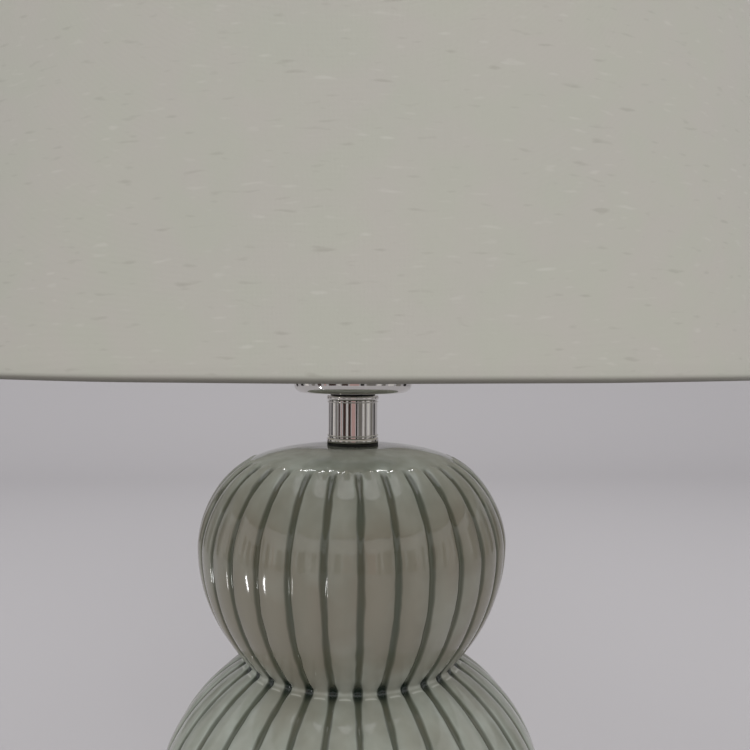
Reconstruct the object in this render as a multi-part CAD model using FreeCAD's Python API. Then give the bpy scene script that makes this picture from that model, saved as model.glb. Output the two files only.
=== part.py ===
"""Table lamp with a ribbed double-gourd ceramic body, a polished neck, a harp and a drum shade.

Millimetres, +Z up. The origin is on the lamp's axis, at the underside of the felt foot.
The front faces -Y, the cord inlet is at the back, and the harp stands in the XZ plane.
"""
import FreeCAD, Part
import math
import os

from FreeCAD import Vector

# Clearances
RUNNING_FIT = 0.08         # radial play of a turning or sliding shaft
SLIP_FIT = 0.15            # radial play of a fixed part over another
LOOSE_GAP = 0.3            # space between parts that move past each other
STACK_GAP = 0.05           # space between faces that turn on each other

# Ceramic body
FELT_THICKNESS = 2.0
FELT_INSET = 1.0           # felt edge inside the foot's edge
FOOT_RADIUS = 66.0
FOOT_HEIGHT = 9.0
FOOT_RING_WIDTH = 10.0
FOOT_RECESS = 8.0          # depth of the hollow under the body
FLOOR_THICKNESS = 6.0
FLOOR_HOLE_RADIUS = 36.0
CERAMIC_WALL = 6.0
BODY_HEIGHT = 258.5
LOWER_BULB_RADIUS = 98.0
LOWER_EQUATOR_HEIGHT = 76.0
WAIST_RADIUS = 52.6
WAIST_HEIGHT = 152.0
UPPER_BULB_RADIUS = 77.1
UPPER_EQUATOR_HEIGHT = 211.4
SHOULDER_RADIUS = 52.0     # the ribs start here, under the smooth top
RIB_COUNT = 30
RIB_CROWN = 0.5            # a rib's middle over its edges
GROOVE_DEPTH = 1.5
GROOVE_ANGLE = 2.5         # width of a groove, degrees

# Rod, plate and nut that hold the stack together
ROD_RADIUS = 5.0
ROD_BORE_RADIUS = 3.5
ROD_END = 2.0              # rod beyond the lower nut
BASE_PLATE_RADIUS = 46.0
BASE_PLATE_THICKNESS = 1.6
WASHER_RADIUS = 9.0
WASHER_THICKNESS = 1.0
NUT_ACROSS_FLATS = 16.0
NUT_HEIGHT = 3.6

# Cord inlet
INLET_HEIGHT = 26.0
INLET_BORE_RADIUS = 3.5
INLET_BODY_RADIUS = 5.5
INLET_FLANGE_RADIUS = 8.0
INLET_FLANGE_THICKNESS = 2.0
INLET_TAIL = 3.0           # bushing that stands inside the wall

# Neck and dish
GASKET_RADIUS = 12.9
GASKET_HEIGHT = 1.2
COLLAR_RADIUS = 13.2
LOWER_COLLAR_HEIGHT = 4.3
UPPER_COLLAR_HEIGHT = 3.6
COLLAR_SPIGOT = 2.5        # collar inside the tube
NECK_RADIUS = 12.4
NECK_WALL = 1.0
NECK_HEIGHT = 16.1
SPACER_RADIUS = 11.2
SPACER_HEIGHT = 1.4
DISH_RADIUS = 29.8
DISH_HEIGHT = 5.7
DISH_EDGE_RADIUS = 4.5
DISH_WALL = 1.0

# Harp and its saddle
SADDLE_THICKNESS = 1.6
SADDLE_WIDTH = 12.0
SADDLE_OVERHANG = 5.0      # strap beyond the harp's feet
EAR_WIDTH = 4.8
EAR_HEIGHT = 10.5
HARP_WIRE_RADIUS = 2.3
HARP_FOOT_X = 30.85
HARP_HALF_WIDTH = 57.0
HARP_HEIGHT = 241.3        # saddle to the spider's seat
HARP_LEG = 38.0            # foot to the middle of the first bend
HARP_FLARE = 50.0          # height between the two bends of a leg
HARP_FLARE_RADIUS = 50.0
HARP_TOP_RADIUS = 42.0
SLEEVE_HEIGHT = 14.0
SLEEVE_WALL = 1.0
STUD_BOSS_RADIUS = 7.0
STUD_BOSS_DEPTH = 9.0
STUD_RADIUS = 3.1
STUD_HEIGHT = 15.0

# Socket, switch and bulb
SOCKET_HUB_RADIUS = 7.5
SOCKET_HUB_HEIGHT = 5.0
SOCKET_CAP_RADIUS = 17.2
SOCKET_CAP_HEIGHT = 20.0
SOCKET_CAP_WALL = 1.0
SOCKET_SHELL_HEIGHT = 54.0
SOCKET_SHELL_WALL = 0.6
LINER_WALL = 0.8
CORE_HEIGHT = 25.0
SCREW_SHELL_HEIGHT = 25.0
SCREW_SHELL_WALL = 0.5
SET_SCREW_RADIUS = 1.2
TERMINAL_HEAD_RADIUS = 2.6
TERMINAL_HEAD_HEIGHT = 1.5
TERMINAL_SHANK_RADIUS = 1.4
TERMINAL_SHANK_LENGTH = 4.0
SWITCH_SHAFT_RADIUS = 1.6
SWITCH_SHAFT_DEPTH = 9.0   # shaft inside the core
SWITCH_REACH = 9.0         # socket shell to the knob
KNOB_RADIUS = 6.5
KNOB_LENGTH = 12.0
KNOB_FLUTES = 12
CONTACT_HEIGHT = 2.0
CONTACT_RADIUS = 3.5
BULB_BASE_RADIUS = 13.0
BULB_BASE_HEIGHT = 25.0
BULB_BASE_WALL = 0.8
BULB_RADIUS = 30.0
BULB_LENGTH = 108.0        # base rim contact to the crown
GLASS_WALL = 1.0

# Shade, spider and finial
SHADE_BOTTOM_RADIUS = 200.0
SHADE_TOP_RADIUS = 185.0
SHADE_HEIGHT = 260.0
FABRIC_THICKNESS = 0.8
LINING_THICKNESS = 1.0
HEM_TURN = 6.0             # fabric tucked up behind the wire
SHADE_WIRE_RADIUS = 1.5
SPIDER_HUB_RADIUS = 12.0
SPIDER_HUB_THICKNESS = 2.0
SPIDER_DROP = 19.5         # shade rim above the hub
SPIDER_ARM_RADIUS = 1.6
SPIDER_ARMS = 3
SPIDER_BEND_RADIUS = 14.0
SPIDER_SLOPE_RUN = 20.0    # length over which an arm climbs to the rim
FINIAL_WASHER_RADIUS = 8.0
FINIAL_WASHER_THICKNESS = 0.8
FINIAL_BASE_RADIUS = 6.5
FINIAL_NECK_RADIUS = 4.6
FINIAL_BALL_RADIUS = 8.0
FINIAL_HEIGHT = 27.0

# Heights that follow from the stack
BODY_Z = FELT_THICKNESS
BODY_TOP_Z = BODY_Z + BODY_HEIGHT
WAIST_Z = BODY_Z + WAIST_HEIGHT
FOOT_TOP_Z = BODY_Z + FOOT_HEIGHT
RECESS_Z = BODY_Z + FOOT_RECESS
FLOOR_Z = RECESS_Z + FLOOR_THICKNESS
LOWER_COLLAR_Z = BODY_TOP_Z + GASKET_HEIGHT
NECK_Z = LOWER_COLLAR_Z + LOWER_COLLAR_HEIGHT
UPPER_COLLAR_Z = NECK_Z + NECK_HEIGHT
SPACER_Z = UPPER_COLLAR_Z + UPPER_COLLAR_HEIGHT
DISH_Z = SPACER_Z + SPACER_HEIGHT
DISH_NUT_Z = DISH_Z + DISH_WALL
SADDLE_Z = DISH_Z + DISH_HEIGHT + LOOSE_GAP
SOCKET_Z = SADDLE_Z + SADDLE_THICKNESS
SHELL_Z = SOCKET_Z + SOCKET_CAP_HEIGHT - SOCKET_HUB_HEIGHT - 3 * SOCKET_CAP_WALL
CORE_Z = SHELL_Z + LINER_WALL
CORE_TOP_Z = CORE_Z + CORE_HEIGHT
SWITCH_Z = CORE_Z + CORE_HEIGHT / 2
BULB_Z = CORE_TOP_Z + CONTACT_HEIGHT
BULB_NECK_Z = BULB_Z + BULB_BASE_HEIGHT
SEAT_Z = SOCKET_Z + HARP_HEIGHT
HUB_Z = SEAT_Z + STACK_GAP
HUB_TOP_Z = HUB_Z + SPIDER_HUB_THICKNESS
SHADE_TOP_Z = HUB_TOP_Z + SPIDER_DROP
SHADE_Z = SHADE_TOP_Z - SHADE_HEIGHT
FINIAL_WASHER_Z = HUB_TOP_Z + STACK_GAP
FINIAL_Z = FINIAL_WASHER_Z + FINIAL_WASHER_THICKNESS + STACK_GAP

# Radii that follow from a fit
ROD_HOLE_RADIUS = ROD_RADIUS + SLIP_FIT
SHELL_RADIUS = SOCKET_CAP_RADIUS - SOCKET_CAP_WALL - SLIP_FIT
LINER_RADIUS = SHELL_RADIUS - SOCKET_SHELL_WALL - SLIP_FIT
CORE_RADIUS = LINER_RADIUS - LINER_WALL - SLIP_FIT
HARP_TOP_Z = SEAT_Z - STUD_BOSS_DEPTH / 2
EAR_X = HARP_FOOT_X - HARP_WIRE_RADIUS - SLIP_FIT - SADDLE_THICKNESS

ORIGIN = Vector(0, 0, 0)
UP = Vector(0, 0, 1)
FRONT = Vector(0, -1, 0)
BACK = Vector(0, 1, 0)
RIGHT = Vector(1, 0, 0)
PAST = 1.0                 # how far a cutting tool runs past the face it cuts


# ---------------------------------------------------------------- shapes that several pieces use

def drum(radius, bottom, top):
    """A plain round block on the lamp's axis."""
    return Part.makeCylinder(radius, top - bottom, Vector(0, 0, bottom))


def bore(radius, bottom, top):
    """The tool for a hole on the lamp's axis that runs past both heights."""
    return drum(radius, bottom - PAST, top + PAST)


def washer(outer, inner, bottom, height):
    """A flat ring or a plain sleeve on the lamp's axis."""
    return drum(outer, bottom, bottom + height).cut(bore(inner, bottom, bottom + height))


def turned(*pieces):
    """A turned solid from a closed outline of (radius, height) points.

    In the outline two points make a straight line, three an arc and more a smooth curve.
    """
    edges = []
    for piece in pieces:
        points = [Vector(radius, 0, height) for radius, height in piece]
        if len(points) == 2:
            curve = Part.LineSegment(*points)
        elif len(points) == 3:
            curve = Part.Arc(*points)
        else:
            curve = Part.BSplineCurve()
            curve.interpolate(points)
        edges.append(curve.toShape())
    return Part.Face(Part.Wire(edges)).revolve(ORIGIN, UP, 360)


def turned_flat(points):
    """A turned solid whose outline has straight sides only."""
    closed = points + points[:1]
    return turned(*[closed[i:i + 2] for i in range(len(points))])


def hex_nut(bottom, height):
    """A hexagon nut on the rod."""
    corner_radius = NUT_ACROSS_FLATS / math.sqrt(3)
    corners = []
    for side in range(7):
        angle = math.radians(60 * side)
        corners.append(Vector(corner_radius * math.cos(angle), corner_radius * math.sin(angle), bottom))
    block = Part.Face(Part.makePolygon(corners)).extrude(UP * height)
    return block.cut(bore(ROD_HOLE_RADIUS, bottom, bottom + height))


def bent_wire(corners, wire_radius):
    """A round wire along straight runs; each (point, bend radius) corner is rounded with an arc."""
    points = [point for point, bend in corners]
    edges = []
    start = points[0]
    for before, (point, bend), after in zip(points, corners[1:-1], points[2:]):
        arriving = (point - before).normalize()
        leaving = (after - point).normalize()
        half_turn = arriving.getAngle(leaving) / 2
        cut_back = bend * math.tan(half_turn)
        arc_start = point - arriving * cut_back
        arc_end = point + leaving * cut_back
        inwards = (leaving - arriving).normalize()
        middle = point + inwards * bend * (1 / math.cos(half_turn) - 1)
        edges.append(Part.LineSegment(start, arc_start).toShape())
        edges.append(Part.Arc(arc_start, middle, arc_end).toShape())
        start = arc_end
    edges.append(Part.LineSegment(start, points[-1]).toShape())
    section = Part.Wire([Part.Circle(points[0], points[1] - points[0], wire_radius).toShape()])
    return Part.Wire(edges).makePipeShell([section], True, False)


# ---------------------------------------------------------------- ceramic body

class HalfBulb:
    """A quarter outline of a bulb: a superellipse from the equator to an edge of known size."""

    def __init__(self, radius, equator_z, edge_radius, edge_z, side_power, end_power):
        self.radius = radius
        self.equator_z = equator_z
        self.side_power = side_power
        self.end_power = end_power
        self.edge_turn = math.acos((edge_radius / radius) ** (side_power / 2))
        self.reach = (edge_z - equator_z) / math.sin(self.edge_turn) ** (2 / end_power)

    def point(self, share):
        """Radius and height at a share of the way from the equator to the edge."""
        turn = share * self.edge_turn
        radius = self.radius * math.cos(turn) ** (2 / self.side_power)
        height = self.equator_z + self.reach * math.sin(turn) ** (2 / self.end_power)
        return radius, height

    def inside(self, share, wall):
        """The point one wall thickness in from the outline."""
        step = 0.01
        before = self.point(max(share - step, 0))
        after = self.point(min(share + step, 1))
        along_radius = after[0] - before[0]
        along_height = after[1] - before[1]
        length = math.hypot(along_radius, along_height)
        side = math.copysign(1, self.reach)
        radius, height = self.point(share)
        return radius - wall * side * along_height / length, height + wall * side * along_radius / length


def gourd_halves():
    """The four quarter outlines, from the foot up: each ends where the next piece begins."""
    lower_equator = BODY_Z + LOWER_EQUATOR_HEIGHT
    upper_equator = BODY_Z + UPPER_EQUATOR_HEIGHT
    foot = HalfBulb(LOWER_BULB_RADIUS, lower_equator, FOOT_RADIUS, FOOT_TOP_Z, 2.0, 2.2)
    lower = HalfBulb(LOWER_BULB_RADIUS, lower_equator, WAIST_RADIUS, WAIST_Z, 2.02, 2.09)
    upper = HalfBulb(UPPER_BULB_RADIUS, upper_equator, WAIST_RADIUS, WAIST_Z, 1.32, 2.08)
    top = HalfBulb(UPPER_BULB_RADIUS, upper_equator, 0, BODY_TOP_Z, 3.9, 1.6)
    return foot, lower, upper, top


def ribbed_section(radius, height, groove_share):
    """One closed level outline of the body: rounded ribs with a narrow groove between them."""
    pitch = 360 / RIB_COUNT
    first_groove = -90     # a groove faces the front
    half_groove = GROOVE_ANGLE / 2

    def at(angle, distance):
        turn = math.radians(angle)
        return Vector(distance * math.cos(turn), distance * math.sin(turn), height)

    edge = radius - RIB_CROWN * groove_share
    floor = radius - GROOVE_DEPTH * groove_share
    arcs = []
    for rib in range(RIB_COUNT):
        middle = first_groove + rib * pitch
        right = middle + half_groove
        left = middle + pitch - half_groove
        arcs.append(Part.Arc(at(middle - half_groove, edge), at(middle, floor), at(right, edge)))
        arcs.append(Part.Arc(at(right, edge), at(middle + pitch / 2, radius), at(left, edge)))
    return Part.Wire([arc.toShape() for arc in arcs])


def bulb_loft(first_half, first_shares, second_half, second_shares):
    """A ribbed bulb from one edge over the equator to the other; a share is (place, groove depth)."""
    sections = []
    for half, shares in ((first_half, first_shares), (second_half, second_shares)):
        for place, groove_share in shares:
            radius, height = half.point(place)
            sections.append(ribbed_section(radius, height, groove_share))
    return Part.makeLoft(sections, True, False)


def body_hollow(foot, lower, upper, top):
    """The hollow that the casting leaves, one wall in from the outside, under the rod hole."""
    count = 10
    places = [index / count for index in range(count + 1)]
    low_side = [foot.inside(1 - place, CERAMIC_WALL) for place in places[1:-1]]
    low_side += [lower.inside(place, CERAMIC_WALL) for place in places]
    high_side = [upper.inside(1 - place, CERAMIC_WALL) for place in places[:-1]]
    high_side += [top.inside(place, CERAMIC_WALL) for place in places[:-1]]
    ceiling = BODY_TOP_Z - CERAMIC_WALL
    low_side = [point for point in low_side if point[1] > FLOOR_Z + CERAMIC_WALL / 2]
    cove = (low_side[0][0] - CERAMIC_WALL / 2, FLOOR_Z)
    crown = (high_side[-1][0] - CERAMIC_WALL, ceiling)
    return turned([(0, FLOOR_Z), cove], [cove, low_side[0]], low_side, [low_side[-1], high_side[0]],
                  high_side, [high_side[-1], crown], [crown, (0, ceiling)], [(0, ceiling), (0, FLOOR_Z)])


def ceramic_body():
    """The glazed stoneware body: two ribbed bulbs, a smooth top, a foot ring and a hollow inside."""
    foot, lower, upper, top = gourd_halves()
    shoulder = math.acos((SHOULDER_RADIUS / UPPER_BULB_RADIUS) ** (top.side_power / 2)) / top.edge_turn
    above = [(shoulder, 0), (shoulder * 0.96, 0.6)]
    above += [(shoulder * place, 1) for place in (0.9, 0.75, 0.55, 0.35, 0.15)]
    below = [(place, 1) for place in (0, 0.2, 0.4, 0.6, 0.8, 1)]
    upper_bulb = bulb_loft(top, above, upper, below)
    waist_up = [(1 - share, 1) for share in (0, 0.2, 0.4, 0.6, 0.8, 1)]
    to_foot = [(0.2, 1), (0.4, 1), (0.6, 1), (0.8, 1), (0.92, 0.6), (1, 0)]
    lower_bulb = bulb_loft(lower, waist_up, foot, to_foot)

    seat_radius = GASKET_RADIUS + 1
    seat_place = math.acos((seat_radius / UPPER_BULB_RADIUS) ** (top.side_power / 2)) / top.edge_turn
    count = 8
    curve = [(seat_radius, BODY_TOP_Z)]
    for index in range(1, count + 1):
        curve.append(top.point(seat_place + (shoulder - seat_place) * index / count))
    shoulder_z = curve[-1][1]
    cap = turned([(0, BODY_TOP_Z), curve[0]], curve, [curve[-1], (0, shoulder_z)],
                 [(0, shoulder_z), (0, BODY_TOP_Z)])

    foot_ring = drum(FOOT_RADIUS, BODY_Z, FOOT_TOP_Z)
    foot_ring = foot_ring.makeFillet(FOOT_RING_WIDTH / 5, [foot_ring.Edges[2]])
    body = cap.fuse([upper_bulb, lower_bulb, foot_ring]).removeSplitter()

    recess_radius = FOOT_RADIUS - FOOT_RING_WIDTH
    body = body.cut([
        body_hollow(foot, lower, upper, top),
        drum(recess_radius, BODY_Z - PAST, RECESS_Z),
        bore(FLOOR_HOLE_RADIUS, RECESS_Z, FLOOR_Z),
        bore(ROD_HOLE_RADIUS, BODY_TOP_Z - CERAMIC_WALL, BODY_TOP_Z),
    ])
    face_y = inlet_face_y()
    hole_length = LOWER_BULB_RADIUS
    hole = Part.makeCylinder(INLET_BODY_RADIUS + SLIP_FIT, hole_length, Vector(0, 0, inlet_z()), BACK)
    spot = Part.makeCylinder(INLET_FLANGE_RADIUS + 1, hole_length, Vector(0, face_y, inlet_z()), BACK)
    return body.cut([hole, spot])


def felt_foot_ring():
    """The felt glued under the foot ring."""
    outer = FOOT_RADIUS - FELT_INSET - FOOT_RING_WIDTH / 5
    inner = FOOT_RADIUS - FOOT_RING_WIDTH + FELT_INSET
    return washer(outer, inner, 0, FELT_THICKNESS)


# ---------------------------------------------------------------- cord inlet

def inlet_z():
    """Height of the cord inlet's axis."""
    return BODY_Z + INLET_HEIGHT


def inlet_face_y():
    """The flat that the bushing's flange sits on: as deep as the groove beside the flange."""
    foot = gourd_halves()[0]
    low_edge_z = inlet_z() - INLET_FLANGE_RADIUS - 1
    steps = 200
    outline = [foot.point(index / steps) for index in range(steps + 1)]
    radius_at_edge = min(outline, key=lambda point: abs(point[1] - low_edge_z))[0]
    return math.sqrt(radius_at_edge ** 2 - INLET_FLANGE_RADIUS ** 2) - GROOVE_DEPTH


def cord_bushing():
    """The flanged plastic bushing that lines the cord hole at the back."""
    face_y = inlet_face_y()
    inner_y = face_y - CERAMIC_WALL - INLET_TAIL
    tail = Part.makeCylinder(INLET_BODY_RADIUS, face_y - inner_y, Vector(0, inner_y, inlet_z()), BACK)
    flange = Part.makeCylinder(INLET_FLANGE_RADIUS, INLET_FLANGE_THICKNESS, Vector(0, face_y, inlet_z()), BACK)
    length = face_y - inner_y + INLET_FLANGE_THICKNESS + 2 * PAST
    hole = Part.makeCylinder(INLET_BORE_RADIUS, length, Vector(0, inner_y - PAST, inlet_z()), BACK)
    return tail.fuse(flange).removeSplitter().cut(hole)


# ---------------------------------------------------------------- rod and its lower fixing

def clamping_stack():
    """The hollow rod with the plate, washer and nut that pull the whole stack together."""
    plate_z = RECESS_Z - BASE_PLATE_THICKNESS
    washer_z = plate_z - WASHER_THICKNESS
    nut_z = washer_z - NUT_HEIGHT
    rod_top = SOCKET_Z + SOCKET_HUB_HEIGHT
    rod_bottom = nut_z - ROD_END / 2
    return {
        "base_plate": washer(BASE_PLATE_RADIUS, ROD_HOLE_RADIUS, plate_z, BASE_PLATE_THICKNESS),
        "base_lock_washer": washer(WASHER_RADIUS, ROD_HOLE_RADIUS, washer_z, WASHER_THICKNESS),
        "base_hex_nut": hex_nut(nut_z, NUT_HEIGHT),
        "hollow_threaded_rod": washer(ROD_RADIUS, ROD_BORE_RADIUS, rod_bottom, rod_top - rod_bottom),
    }


# ---------------------------------------------------------------- neck and dish

def collar(bottom, height, bead_up):
    """A turned collar: a broad bead on the tube's far side, a narrow one at the tube, a waist between."""
    broad = height * 0.68
    narrow = height * 0.2
    waist = COLLAR_RADIUS - 1.0
    side = COLLAR_RADIUS - 0.8
    lip = COLLAR_RADIUS - 0.3
    lip_side = COLLAR_RADIUS - 0.6
    levels = [0, broad, height - narrow, height]
    if bead_up:
        levels = [height - level for level in levels]
    outer_bead = [(side, levels[0]), (COLLAR_RADIUS, (levels[0] + levels[1]) / 2), (side, levels[1])]
    inner_bead = [(lip_side, levels[2]), (lip, (levels[2] + levels[3]) / 2), (lip_side, levels[3])]
    hole = ROD_HOLE_RADIUS
    spigot_end = levels[3] + (-COLLAR_SPIGOT if bead_up else COLLAR_SPIGOT)
    spigot = NECK_RADIUS - NECK_WALL - SLIP_FIT
    outline = [
        [(hole, levels[0]), outer_bead[0]], outer_bead, [outer_bead[2], (waist, levels[1])],
        [(waist, levels[1]), (waist, levels[2])], [(waist, levels[2]), inner_bead[0]], inner_bead,
        [inner_bead[2], (spigot, levels[3])], [(spigot, levels[3]), (spigot, spigot_end)],
        [(spigot, spigot_end), (hole, spigot_end)], [(hole, spigot_end), (hole, levels[0])],
    ]
    shape = turned(*outline)
    shape.translate(Vector(0, 0, bottom))
    return shape


def dish():
    """The shallow spun dish under the socket, with a rounded lower edge and an open top."""
    bend = DISH_EDGE_RADIUS
    inner_bend = bend - DISH_WALL
    centre = (DISH_RADIUS - bend, DISH_Z + bend)
    slope = math.sqrt(0.5)
    rim = DISH_Z + DISH_HEIGHT
    inside = DISH_RADIUS - DISH_WALL
    floor = DISH_Z + DISH_WALL
    outer_arc = [(centre[0], DISH_Z), (centre[0] + bend * slope, centre[1] - bend * slope),
                 (DISH_RADIUS, centre[1])]
    inner_arc = [(inside, centre[1]), (centre[0] + inner_bend * slope, centre[1] - inner_bend * slope),
                 (centre[0], floor)]
    return turned([(ROD_HOLE_RADIUS, DISH_Z), outer_arc[0]], outer_arc, [outer_arc[2], (DISH_RADIUS, rim)],
                  [(DISH_RADIUS, rim), (inside, rim)], [(inside, rim), inner_arc[0]], inner_arc,
                  [inner_arc[2], (ROD_HOLE_RADIUS, floor)], [(ROD_HOLE_RADIUS, floor), (ROD_HOLE_RADIUS, DISH_Z)])


def neck():
    """Everything between the ceramic and the saddle, from the bottom up."""
    return {
        "neck_gasket": washer(GASKET_RADIUS, ROD_HOLE_RADIUS, BODY_TOP_Z, GASKET_HEIGHT),
        "neck_lower_collar": collar(LOWER_COLLAR_Z, LOWER_COLLAR_HEIGHT, bead_up=False),
        "neck_tube": washer(NECK_RADIUS, NECK_RADIUS - NECK_WALL, NECK_Z, NECK_HEIGHT),
        "neck_upper_collar": collar(UPPER_COLLAR_Z, UPPER_COLLAR_HEIGHT, bead_up=True),
        "neck_spacer": washer(SPACER_RADIUS, ROD_HOLE_RADIUS, SPACER_Z, SPACER_HEIGHT),
        "dish": dish(),
        "dish_hex_nut": hex_nut(DISH_NUT_Z, SADDLE_Z - DISH_NUT_Z),
    }


# ---------------------------------------------------------------- harp

def harp_saddle():
    """The steel strap clamped under the socket, with an ear beside each foot of the harp."""
    half_length = HARP_FOOT_X + SADDLE_OVERHANG
    strap = Part.makeBox(2 * half_length, SADDLE_WIDTH, SADDLE_THICKNESS,
                         Vector(-half_length, -SADDLE_WIDTH / 2, SADDLE_Z))
    corners = [edge for edge in strap.Edges
               if abs(edge.Vertexes[0].Point.z - edge.Vertexes[-1].Point.z) > SADDLE_THICKNESS / 2]
    strap = strap.makeFillet(SADDLE_WIDTH / 3, corners)
    ears = []
    for left_edge in (EAR_X, -EAR_X - SADDLE_THICKNESS):
        ears.append(Part.makeBox(SADDLE_THICKNESS, EAR_WIDTH, EAR_HEIGHT, Vector(left_edge, -EAR_WIDTH / 2, SOCKET_Z)))
    return strap.fuse(ears).removeSplitter().cut(bore(ROD_HOLE_RADIUS, SADDLE_Z, SOCKET_Z))


def harp_bow():
    """The bent wire loop that stands on the saddle and goes over the bulb."""
    leg_z = SOCKET_Z + HARP_LEG
    flare_z = leg_z + HARP_FLARE
    right_side = [
        (Vector(HARP_FOOT_X, 0, SOCKET_Z), 0),
        (Vector(HARP_FOOT_X, 0, leg_z), HARP_FLARE_RADIUS),
        (Vector(HARP_HALF_WIDTH, 0, flare_z), HARP_FLARE_RADIUS),
        (Vector(HARP_HALF_WIDTH, 0, HARP_TOP_Z), HARP_TOP_RADIUS),
    ]
    left_side = [(Vector(-point.x, 0, point.z), bend) for point, bend in reversed(right_side)]
    return bent_wire(right_side + left_side, HARP_WIRE_RADIUS)


def harp_stud():
    """The boss riveted on the harp's top, with the threaded stud for the spider and the finial."""
    boss = drum(STUD_BOSS_RADIUS, SEAT_Z - STUD_BOSS_DEPTH, SEAT_Z)
    stud = drum(STUD_RADIUS, SEAT_Z, SEAT_Z + STUD_HEIGHT)
    length = 2 * STUD_BOSS_RADIUS + 2 * PAST
    wire_hole = Part.makeCylinder(HARP_WIRE_RADIUS + RUNNING_FIT / 2, length,
                                  Vector(-length / 2, 0, HARP_TOP_Z), RIGHT)
    return boss.fuse(stud).removeSplitter().cut(wire_hole)


def harp_sleeve(side):
    """One sleeve that drops over a harp foot and the saddle's ear and locks them together."""
    inner_left = EAR_X - LOOSE_GAP
    inner_right = HARP_FOOT_X + HARP_WIRE_RADIUS + LOOSE_GAP
    half_depth = max(HARP_WIRE_RADIUS, EAR_WIDTH / 2) + LOOSE_GAP
    bottom = SOCKET_Z + LOOSE_GAP

    def block(grow, low, high):
        corner = Vector(inner_left - grow, -half_depth - grow, low)
        box = Part.makeBox(inner_right - inner_left + 2 * grow, 2 * (half_depth + grow), high - low, corner)
        upright = [edge for edge in box.Edges if abs(edge.Vertexes[0].Z - edge.Vertexes[-1].Z) > high - low - PAST]
        return box.makeFillet((half_depth + grow) / 4, upright)

    sleeve = block(SLEEVE_WALL, bottom, bottom + SLEEVE_HEIGHT)
    sleeve = sleeve.cut(block(0, bottom - PAST, bottom + SLEEVE_HEIGHT + PAST))
    return sleeve if side > 0 else sleeve.mirror(ORIGIN, RIGHT)


def harp():
    """The saddle, the bow, its stud and the two locking sleeves."""
    return {
        "harp_saddle": harp_saddle(),
        "harp_bow": harp_bow(),
        "harp_stud": harp_stud(),
        "right_harp_sleeve": harp_sleeve(1),
        "left_harp_sleeve": harp_sleeve(-1),
    }


# ---------------------------------------------------------------- socket and switch

def socket_cap():
    """The spun cap that screws on the rod and holds the shell."""
    wall = SOCKET_CAP_WALL
    hub_top = SOCKET_Z + SOCKET_HUB_HEIGHT
    shoulder = hub_top + SOCKET_HUB_HEIGHT
    rim = SOCKET_Z + SOCKET_CAP_HEIGHT
    inside = SOCKET_CAP_RADIUS - wall
    cap = turned_flat([
        (ROD_HOLE_RADIUS, SOCKET_Z), (SOCKET_HUB_RADIUS, SOCKET_Z), (SOCKET_HUB_RADIUS, hub_top - wall),
        (SOCKET_CAP_RADIUS, shoulder - wall), (SOCKET_CAP_RADIUS, rim), (inside, rim),
        (inside, shoulder), (SOCKET_HUB_RADIUS, hub_top), (ROD_HOLE_RADIUS, hub_top),
    ])
    start = Vector(ROD_RADIUS, 0, SOCKET_Z + SOCKET_HUB_HEIGHT / 2)
    hole = Part.makeCylinder(SET_SCREW_RADIUS + SLIP_FIT / 2, SOCKET_HUB_RADIUS, start, RIGHT)
    return cap.cut(hole)


def socket_set_screw():
    """The grub screw that stops the cap from turning on the rod."""
    start = Vector(ROD_RADIUS + SLIP_FIT / 2, 0, SOCKET_Z + SOCKET_HUB_HEIGHT / 2)
    length = SOCKET_HUB_RADIUS - ROD_RADIUS + 1
    return Part.makeCylinder(SET_SCREW_RADIUS, length, start, RIGHT)


def switch_hole(radius):
    """The tool for the switch shaft's hole, from the core out to the front."""
    start = Vector(0, -CORE_RADIUS + SWITCH_SHAFT_DEPTH + LOOSE_GAP, SWITCH_Z)
    return Part.makeCylinder(radius, 2 * SOCKET_CAP_RADIUS, start, FRONT)


def terminal_screw(side, grow):
    """A terminal screw on one side of the core, or the tool for its pocket when it grows."""
    face = CORE_RADIUS - TERMINAL_HEAD_HEIGHT - SLIP_FIT
    direction = RIGHT * side
    head = Part.makeCylinder(TERMINAL_HEAD_RADIUS + grow, TERMINAL_HEAD_HEIGHT + PAST * (grow > 0),
                             direction * face + UP * SWITCH_Z, direction)
    shank = Part.makeCylinder(TERMINAL_SHANK_RADIUS + grow / 2, TERMINAL_SHANK_LENGTH,
                              direction * face + UP * SWITCH_Z, direction * -1)
    return head.fuse(shank).removeSplitter()


def socket_core():
    """The moulded insulator that holds the switch, the terminals and the screw shell."""
    core = drum(CORE_RADIUS, CORE_Z, CORE_TOP_Z)
    tools = [switch_hole(SWITCH_SHAFT_RADIUS + RUNNING_FIT)]
    tools += [terminal_screw(side, SLIP_FIT) for side in (-1, 1)]
    return core.cut(tools)


def socket():
    """The lamp socket from the cap up to the screw shell, without its switch key."""
    shell = washer(SHELL_RADIUS, SHELL_RADIUS - SOCKET_SHELL_WALL, SHELL_Z, SOCKET_SHELL_HEIGHT)
    liner = washer(LINER_RADIUS, LINER_RADIUS - LINER_WALL, SHELL_Z + LINER_WALL,
                   SOCKET_SHELL_HEIGHT - 2 * LINER_WALL)
    shaft_gap = SWITCH_SHAFT_RADIUS + LOOSE_GAP
    return {
        "socket_cap": socket_cap().cut(switch_hole(shaft_gap)),
        "socket_set_screw": socket_set_screw(),
        "socket_shell": shell.cut(switch_hole(shaft_gap)),
        "socket_liner": liner.cut(switch_hole(shaft_gap)),
        "socket_core": socket_core(),
        "terminal_screws": Part.makeCompound([terminal_screw(side, 0) for side in (-1, 1)]),
        "screw_shell": washer(CORE_RADIUS, CORE_RADIUS - SCREW_SHELL_WALL, CORE_TOP_Z, SCREW_SHELL_HEIGHT),
        "centre_contact": drum(CONTACT_RADIUS, CORE_TOP_Z, BULB_Z),
    }


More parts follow.
